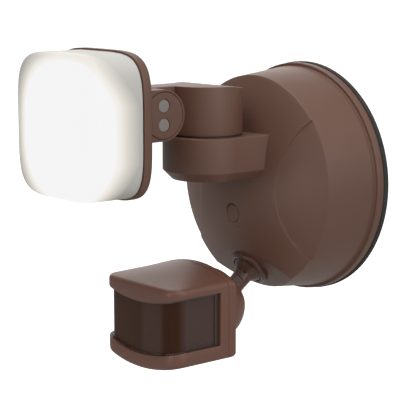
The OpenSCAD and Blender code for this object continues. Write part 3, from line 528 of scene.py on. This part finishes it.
combine(drum, "UNION", pivotPlate(-a["knuckleHalf"], -a["lugInset"], a["lugRadius"], c["bossY"]),
        pivotRound(-a["lugInset"] - 1, a["hubFace"], a["hubRadius"]))
wireX = -(a["knuckleHalf"] + a["lugInset"]) / 2
wireEnd = a["lugRadius"] - a["pivotY"] + 1
wireWay = lathe([(0, -c["bossY"], 0), (a["wireBore"], -c["bossY"], 0), (a["wireBore"], wireEnd, 0),
                 (0, wireEnd, 0)], 64, centre=(wireX, 0, a["pivotZ"]))
combine(drum, "DIFFERENCE", wireWay)
fall = box((-40, 0, 0), (40, 40, 10))  # cuts the slope into the drum's rear top
slope = Matrix.Translation((0, c["bossY"], a["top"])) @ Matrix.Rotation(-radians(a["topFall"]), 4, "X")
bmesh.ops.transform(fall, matrix=slope, verts=fall.verts[:])
combine(drum, "DIFFERENCE", fall)
soften(drum, a["soft"], 4, 40)
finishPiece(drum, "swivelArm", "bronze_housing", "arm", ["swivel_arm"], sharp=40)

# light head

print("light head")
headLook = {
    "middleZ": 38.8, "half": 36.3, "back": 134.9, "panDepth": 5.2, "wall": 2.0, "square": 4.5,
    "earIn": 8.0, "earOut": 17.0, "earRadius": 12.8, "earInto": 1.0, "earSoft": 0.7, "gap": 0.2,
    "discRadius": 11.6, "discDepth": 2.0, "discGap": 0.06, "hubRadius": 8.5,
    "capRadius": 3.3, "capGap": 4.7, "capDepth": 2.4, "capSlack": 0.15, "bevel": 0.25,
    "lensHalf": 35.4, "lensBack": 140.5, "lensFront": 166.5, "lensCrown": 350.0, "lensEdge": 5.5,
    "lensWall": 2.2, "lensRings": 14, "sealInner": 32.2, "sealOuter": 35.0, "sealThick": 0.4,
}
h = headLook
headCentre = (0, 0, h["middleZ"])
panRim, panFloor, panFront = h["half"] - h["wall"], h["back"] + h["wall"], h["back"] + h["panDepth"]
panShape = lathe([(0, h["back"], 0), (h["half"], h["back"], 1.8), (h["half"], panFront, 0.35),
                  (panRim, panFront, 0.3), (panRim, panFloor, 0.8), (0, panFloor, 0)], 224, centre=headCentre)
pan = solid(squircle(panShape, h["square"], h["middleZ"]))
ear = solid(pivotPlate(h["earIn"], h["earOut"], h["earRadius"], -(h["back"] + h["earInto"])))
soften(ear, h["earSoft"], 3, 50)
hubBore, discBore = h["hubRadius"] + h["gap"], h["discRadius"] + h["gap"]
discSeat, seatRim = h["earOut"] - h["discDepth"], discBore + 0.3
seat = lathe([(0, h["earIn"] - 3, 0), (hubBore, h["earIn"] - 3, 0), (hubBore, discSeat, 0),
              (discBore, discSeat, 0), (discBore, h["earOut"] - h["bevel"], 0.1),
              (seatRim, h["earOut"] + 0.1, 0), (seatRim, h["earOut"] + 4, 0), (0, h["earOut"] + 4, 0)],
             128, upright=True)
bmesh.ops.transform(seat, matrix=ontoPivot, verts=seat.verts[:])
combine(ear, "DIFFERENCE", seat)
combine(pan, "UNION", ear)
finishPiece(pan, "headShell", "bronze_housing", "head", ["head_shell"], sharp=38)


def lensDepth(r):
    return h["lensFront"] - h["lensCrown"] + sqrt(h["lensCrown"] ** 2 - r * r)


crownEnd, rings = h["lensHalf"] - h["lensEdge"], h["lensRings"]
crown = [(crownEnd * k / rings, lensDepth(crownEnd * k / rings), 0) for k in range(rings + 1)]
crown += [(h["lensHalf"], lensDepth(h["lensHalf"]), h["lensEdge"]), (h["lensHalf"], h["lensBack"], 0)]
lensShape = squircle(lathe(crown, 224, centre=headCentre, rounding=12), h["square"], h["middleZ"])
lens = thickened(solid(lensShape), h["lensWall"])
finishPiece(lens, "opalLens", "opal_plastic", "head", ["lens"], sharp=60)

sealBack = h["lensBack"] - h["sealThick"]
sealShape = lathe([(h["sealInner"], sealBack, 0), (h["sealOuter"], sealBack, 0.1),
                   (h["sealOuter"], h["lensBack"], 0.1), (h["sealInner"], h["lensBack"], 0)], 160,
                  centre=headCentre, closed=True)
seal = solid(squircle(sealShape, h["square"], h["middleZ"]))
finishPiece(seal, "lensSeal", "seal_rubber", "head", ["lens_seal"])

face, capFoot, capRim = h["earOut"], h["earOut"] - h["capDepth"], h["capRadius"] + h["capSlack"]
discFoot, capEdge = discSeat + h["discGap"], capRim + h["bevel"]
disc = solid(lathe([(0, a["hubFace"], 0), (h["hubRadius"], a["hubFace"], 0), (h["hubRadius"], discFoot, 0),
                    (h["discRadius"], discFoot, 0), (h["discRadius"], face, 0.35), (0, face, 0)], 128,
                   upright=True))
for end, place in ((-1, "Upper"), (1, "Lower")):
    middle = (end * h["capGap"], 0, 0)
    capHole = lathe([(0, capFoot, 0), (capRim, capFoot, 0), (capRim, face - 0.2, 0.1),
                     (capEdge, face + 0.1, 0), (capEdge, face + 2, 0), (0, face + 2, 0)], 64,
                    upright=True, centre=middle)
    combine(disc, "DIFFERENCE", capHole)
    cap = solid(lathe([(0, capFoot, 0), (h["capRadius"], capFoot, 0),
                       (h["capRadius"], face - h["bevel"], 0.3), (0, face - h["capSlack"], 0)], 64,
                      upright=True, centre=middle))
    cap.data.transform(ontoPivot)
    finishPiece(cap, "pivotCap" + place, "zinc_steel", "arm", ["pivot_screws"], materials["screw_cap"])
disc.data.transform(ontoPivot)
finishPiece(disc, "pivotDisc", "bronze_housing", "arm", ["pivot_disc"])

# sensor

print("sensor")
sensorLook = {
    "half": 30.0, "front": 118.5, "seam": 81.0, "split": 81.7, "splitGap": 0.15, "back": 77.0,
    "top": -44.27, "low": -88.07, "corner": 8.0, "bow": 225.0, "smile": 100.0, "crown": 6.5, "wall": 2.2,
    "rounding": 2.0, "seamSoft": 0.18, "windowSoft": 0.22, "visor": 8.8, "lip": 7.5, "windowEnd": 87.3,
    "dialX": 13.0, "dialY": -99.75, "dialHole": 4.8,
    "hubRadius": 20.0, "hubY": -71.0, "hubZ": -62.87, "hubCut": -78.2, "ball": (0.0, -63.865, -64.970),
    "bore": 10.2, "swing": 56.0, "swingReach": 40.0,
    "lensGap": 0.2, "lensThick": 1.0, "lensOver": 1.2, "lensTuck": 1.8,
    "rimWidth": 2.3, "rimLift": 0.6, "rimThick": 0.9, "rimPast": 0.3, "rimNotches": (-19, -9, 9, 19),
    "notchHalf": 1.6, "rimSoft": 0.12,
}
s = sensorLook
stemAngle = 39.0  # how far the stem points down from level


def sensorTop(x, depth):
    t = min(max((s["front"] - depth) / (s["front"] - s["seam"]), 0.0), 1.0)
    return s["top"] + s["crown"] * (1 - (x / s["half"]) ** 2) * t


def bowed(x, depth, front):  # how far the front curves back at x, growing from the seam
    share = max((depth - s["seam"]) / (front - s["seam"]), 0.0)
    return (x * x / (2 * s["bow"])) * share ** 2


def smiling(x):  # how far the lower edges rise towards the sides
    return x * x / (2 * s["smile"])


def heightOf(edge):
    return abs(edge.verts[0].co.z - edge.verts[1].co.z)


def sensorSolid(inset=0.0, back=s["back"], rounding=0.0):
    half, front = s["half"] - inset, s["front"] - inset
    bottom, ceiling = -90.0, -40.0
    bm = box((-half, -front, bottom), (half, -back, ceiling))
    upright = [e for e in bm.edges if heightOf(e) > 1 and e.verts[0].co.y < -front + 1]
    bmesh.ops.bevel(bm, geom=upright, offset=s["corner"] - inset, offset_type="OFFSET", segments=12,
                    profile=0.5, affect="EDGES", material=-1)
    if rounding:
        outline = [e for e in bm.edges if e.calc_face_angle(0) > radians(50) and heightOf(e) < 1]
        bmesh.ops.bevel(bm, geom=outline, offset=rounding, offset_type="OFFSET", segments=5, profile=0.5,
                        affect="EDGES", material=-1)
    slices(bm, 0, -half, half, 2.0)
    slices(bm, 1, -front, -back, 3.0)
    for v in bm.verts:
        x, depth = v.co.x, -v.co.y
        v.co.y += bowed(x, depth, front)
        if v.co.z > (bottom + ceiling) / 2:
            v.co.z += sensorTop(x, depth) - inset - ceiling
        else:
            v.co.z += s["low"] + inset + smiling(x) - bottom
    return bm


def smileBand(low, high, depthFrom, depthTo):  # block between two curved edges, through the whole width
    bm = box((-40, -depthTo, -1), (40, -depthFrom, 1))
    slices(bm, 0, -40, 40, 1.0)
    for v in bm.verts:
        v.co.z = (high if v.co.z > 0 else low) + smiling(v.co.x)
    return bm


def sensorHalf(name, depth, away):  # one side of the softened body, cut off at a depth
    whole = solid(sensorSolid(rounding=s["rounding"]), name)
    bm = bmesh.new()
    bm.from_mesh(whole.data)
    trim(bm, (0, -depth, 0), (0, away, 0))
    bmesh.ops.recalc_face_normals(bm, faces=bm.faces[:])
    bm.to_mesh(whole.data)
    bm.free()
    return soften(whole, s["seamSoft"], 2, 50)


frontShell = sensorHalf("sensorFront", s["split"] + s["splitGap"], 1)
combine(frontShell, "DIFFERENCE", sensorSolid(s["wall"], s["seam"] - 3))
windowTop, windowLow = s["top"] - s["visor"], s["low"] + s["lip"]
combine(frontShell, "DIFFERENCE", smileBand(windowLow, windowTop, s["windowEnd"], 130))
for x in (-s["dialX"], s["dialX"]):
    hole = lathe([(0, -95, 0), (s["dialHole"], -95, 0), (s["dialHole"], -80, 0), (0, -80, 0)], 64,
                 upright=True, centre=(x, s["dialY"], 0))
    combine(frontShell, "DIFFERENCE", hole)
soften(frontShell, s["windowSoft"], 2, 50)
finishPiece(frontShell, "sensorFront", "bronze_plastic", "sensor", ["sensor_front_shell"], sharp=38)

rearShell = sensorHalf("sensorRear", s["split"], -1)
hub = bmesh.new()
bmesh.ops.create_uvsphere(hub, u_segments=96, v_segments=64, radius=s["hubRadius"],
                          matrix=Matrix.Translation((0, s["hubY"], s["hubZ"])))
trim(hub, (0, s["hubCut"], 0), (0, -1, 0))
combine(rearShell, "UNION", hub)
atBall = Matrix.Translation(s["ball"])
bore = bmesh.new()
bmesh.ops.create_uvsphere(bore, u_segments=80, v_segments=48, radius=s["bore"], matrix=atBall)
well = lathe([(0, 64, 0), (s["bore"], 64, 0), (s["bore"], 90, 0), (0, 90, 0)], 96,
             centre=(0, 0, s["ball"][2]))
reach = s["swingReach"]
room = bmesh.new()  # cone that leaves the stem its way at every limit
lean = Matrix.Rotation(radians(stemAngle - 90), 4, "X")
bmesh.ops.create_cone(room, cap_ends=True, segments=128, radius1=0.01, depth=reach,
                      radius2=reach * tan(radians(s["swing"])),
                      matrix=atBall @ lean @ Matrix.Translation((0, 0, reach / 2)))
combine(rearShell, "DIFFERENCE", bore, well, room)
finishPiece(rearShell, "sensorRear", "bronze_plastic", "sensor", ["sensor_rear_shell"], sharp=38)


def windowStrip(inset, low, high, start):  # upright sheet along the body's front, between two curved edges
    half, front, corner = s["half"] - inset, s["front"] - inset, s["corner"] - inset
    path = [(-half, start + (front - corner - start) * k / 16) for k in range(17)]
    for k in range(1, 9):
        angle = pi / 2 * k / 8
        path.append((-half + corner * (1 - cos(angle)), front - corner + corner * sin(angle)))
    path += [(-half + corner + (half - corner) * k / 16, front) for k in range(1, 17)]
    path += [(-x, d) for x, d in path[-2::-1]]
    bm = bmesh.new()
    uv = bm.loops.layers.uv.new("UVMap")
    row = [bm.verts.new((x, -d, 0)) for x, d in path]
    edges = [bm.edges.new(pair) for pair in zip(row, row[1:])]
    lifted = bmesh.ops.extrude_edge_only(bm, edges=edges)["geom"]
    bmesh.ops.translate(bm, vec=(0, 0, 1), verts=[v for v in lifted if isinstance(v, bmesh.types.BMVert)])
    rises = [e for e in bm.edges if heightOf(e) > 0.5]
    bmesh.ops.subdivide_edges(bm, edges=rises, cuts=7, use_grid_fill=True)
    length = [0.0]
    for before, after in zip(path, path[1:]):
        length.append(length[-1] + hypot(after[0] - before[0], after[1] - before[1]))
    for sheet in bm.faces:
        for loop in sheet.loops:
            x, y, z = loop.vert.co
            nearest = min(range(len(path)), key=lambda i: hypot(path[i][0] - x, path[i][1] + y))
            loop[uv].uv = (length[nearest] / length[-1], z)
    for v in bm.verts:
        x, depth = v.co.x, -v.co.y
        v.co.z = low + (high - low) * v.co.z + smiling(x)
        v.co.y += bowed(x, depth, front)
    return bm


lensInset = s["wall"] + s["lensGap"]
pirSheet = windowStrip(lensInset, windowLow - s["lensOver"], windowTop + s["lensOver"],
                       s["windowEnd"] - s["lensTuck"])
pir = thickened(solid(pirSheet), s["lensThick"])
finishPiece(pir, "pirLens", "dark_lens_plastic", "sensor", ["pir_lens"], sharp=50)

rimInset, rimEnd, rimThick = lensInset - s["rimLift"], s["windowEnd"] + s["rimPast"], s["rimThick"]
rim = thickened(solid(windowStrip(rimInset, windowLow - 0.6, windowLow + 0.9, rimEnd)), rimThick)
upperRim = thickened(solid(windowStrip(rimInset, windowTop - 0.8, windowTop + 0.6, rimEnd)), rimThick)
combine(rim, "UNION", upperRim)
edge = s["half"] - rimInset
postLow, postTop = windowLow + smiling(edge) - 0.4, windowTop + smiling(edge) + 0.4
for side in (-1, 1):
    low, high = sorted((side * edge, side * (edge - rimThick)))
    combine(rim, "UNION", box((low, -rimEnd - s["rimWidth"], postLow), (high, -rimEnd, postTop)))
notch = s["notchHalf"]
for x in s["rimNotches"]:
    combine(rim, "DIFFERENCE", box((x - notch, -130, windowLow - 2), (x + notch, -100, windowLow + 4)))
soften(rim, s["rimSoft"], 2, 50)
finishPiece(rim, "windowRim", "dark_lens_plastic", "sensor", material=materials["window_rim"])

# socket and stem

print("stem")
stemLook = {
    "foot": (0, -40.551, -46.091), "root": 4.0, "rootEnd": -8.5, "flange": 8.6, "flangeTop": 2.4,
    "neck": 5.1, "neckStart": 6.5, "radius": 4.8, "shoulder": 16.6, "ballCentre": 30.0, "ballRadius": 8.0,
    "collarInner": 8.8, "collarOuter": 11.3, "collarHeight": 3.0, "recessTurn": 43.0,
    "recesses": [((3.9, -1.0, 6.4), (8, 1.0, 9.2)), ((4.1, -2.1, 10.2), (8, 2.1, 14.6))],
}
m = stemLook
alongStem = Matrix.Translation(m["foot"]) @ Matrix.Rotation(radians(90 + stemAngle), 4, "X")
collar = lathe([(m["collarInner"], 0, 0), (m["collarOuter"], 0, 0), (m["collarOuter"], 1.6, 0.7),
                (10.1, m["collarHeight"], 0.9), (m["collarInner"], m["collarHeight"] - 0.3, 0.2)], 128,
               upright=True, closed=True)
bmesh.ops.transform(collar, matrix=alongStem, verts=collar.verts[:])
finishPiece(solid(collar), "socketCollar", "dark_bronze_plastic", "base", ["socket_collar"])

root, flange, radius, ball = m["root"], m["flange"], m["radius"], m["ballRadius"]
stemSide = [(0, m["rootEnd"], 0), (root, m["rootEnd"], 0.3), (root, 0, 0), (flange, 0, 0),
            (flange, m["flangeTop"], 0.5), (7.9, 3.1, 0.8), (m["neck"], m["neckStart"], 2.2),
            (radius, 12, 1.0), (radius, m["shoulder"], 0.3), (root, m["shoulder"] + 0.8, 0.3)]
turns = [radians(-60 + k * 7.5) for k in range(20)]
stemSide += [(ball * cos(t), m["ballCentre"] + ball * sin(t), 0) for t in turns]
stemSide.append((0, m["ballCentre"] + ball, 0))
stem = solid(lathe(stemSide, 96, upright=True))
for low, high in m["recesses"]:
    recess = box(low, high)
    recess.transform(Matrix.Rotation(radians(m["recessTurn"]), 4, "Z"))
    combine(stem, "DIFFERENCE", recess)
stem.data.transform(alongStem)
finishPiece(stem, "sensorStem", "dark_bronze_plastic", "base", ["sensor_stem"])

# finish of the frame's own parts

print("frame parts")
slotOf = {row["node"]: row["material_slot"] for row in frame["record"]["subparts"]}
for name, node in nodes.items():
    node.data.materials.clear()
    node.data.materials.append(materials[slotOf[name]])

# stage, light and camera

print("stage")
stageLook = {
    "floorZ": -0.30, "size": 30.0, "white": (1.0, 1.0, 1.0, 1), "warm": (1.0, 0.985, 0.97, 1), "pale": 0.86,
    "floorLight": (0.47, 0.47, 0.47), "floorDark": (0.43, 0.43, 0.43), "dim": 0.26,
    "lobes": [  # direction, where it starts and is full, brightness
        (Vector((0.86, -0.05, 0.5)), -0.1, 0.95, 1.05),
        (Vector((-0.74, 0.62, 0.27)), 0.72, 0.99, 1.35),
    ],
}


def litShare(shade, look):  # grows towards the bright sides of the studio
    way = shade.node("TexCoord", out="Generated")
    light = look["dim"]
    for aim, start, full, extra in look["lobes"]:
        facing = shade.node("VectorMath", {"operation": "DOT_PRODUCT"}, (way, aim.normalized()), 1)
        lobe = shade.node("MapRange", {"interpolation_type": "SMOOTHSTEP"}, (facing, start, full, 0.0, extra))
        light = lobe + light
    return light


studio = Shade("studio", bpy.data.worlds)
seen = studio.node("LightPath", out="Is Camera Ray")
strength = litShare(studio, stageLook)
backdrop = studio.node("Background", {}, {"Color": stageLook["white"], "Strength": 1.0})
lighting = studio.node("Background", {}, {"Color": stageLook["warm"], "Strength": strength})
mixed = studio.node("MixShader", {}, (seen, lighting, backdrop))
studio.node("OutputWorld", {}, {"Surface": mixed})
scene.world = studio.material

ground = Shade("floor")
mottle = ground.noise(ground.node("TexCoord", out="Object"), 3, 2)
floorTone = ground.blend(mottle, stageLook["floorLight"], stageLook["floorDark"])
seen = ground.node("LightPath", out="Is Camera Ray")
matt = ground.node("BsdfDiffuse", {}, {"Color": floorTone})
pale = ground.node("Emission", {}, {"Color": stageLook["white"], "Strength": stageLook["pale"]})
both = ground.node("AddShader", {}, (matt, pale))
ground.node("OutputMaterial", {}, {"Surface": ground.node("MixShader", {}, (seen, matt, both))})
bm = bmesh.new()
bmesh.ops.create_grid(bm, x_segments=2, y_segments=2, size=stageLook["size"])
bmesh.ops.translate(bm, vec=(0, 0, stageLook["floorZ"]), verts=bm.verts[:])
floor = solid(bm, "floor")
floor.data.materials.append(ground.material)


lightsLook = {  # place, aim, size in metres, power
    "sideSoftbox": ((1.5, -0.1, 0.5), (0, -0.05, 0), 1.2, 9),
    "overhead": ((-0.2, -0.3, 1.6), (0, -0.08, 0), 1.2, 23),
    "frontSoftbox": ((-0.1, -1.6, 0.12), (0, -0.1, -0.03), 0.5, 6),
}
for name, (place, aim, size, power) in lightsLook.items():
    data = bpy.data.lights.new(name, "AREA")
    data.shape, data.size, data.energy = "SQUARE", size, power
    lamp = bpy.data.objects.new(name, data)
    lamp.location = place
    lamp.rotation_euler = (Vector(aim) - Vector(place)).to_track_quat("-Z", "Y").to_euler()
    scene.collection.objects.link(lamp)

cameraLook = {
    "place": (0.59035, -0.57058, 0.12268), "azimuth": 49.732, "elevation": 9.795, "lens": 129.8, "sensor": 36,
    "clip": (0.01, 60),
}
camera = bpy.data.objects.new("camera", bpy.data.cameras.new("camera"))
camera.data.lens, camera.data.sensor_width = cameraLook["lens"], cameraLook["sensor"]
camera.data.clip_start, camera.data.clip_end = cameraLook["clip"]
camera.location = cameraLook["place"]
camera.rotation_euler = (radians(90 - cameraLook["elevation"]), 0, radians(cameraLook["azimuth"]))
scene.collection.objects.link(camera)
scene.camera = camera
scene.view_settings.view_transform = "Standard"

print("done")
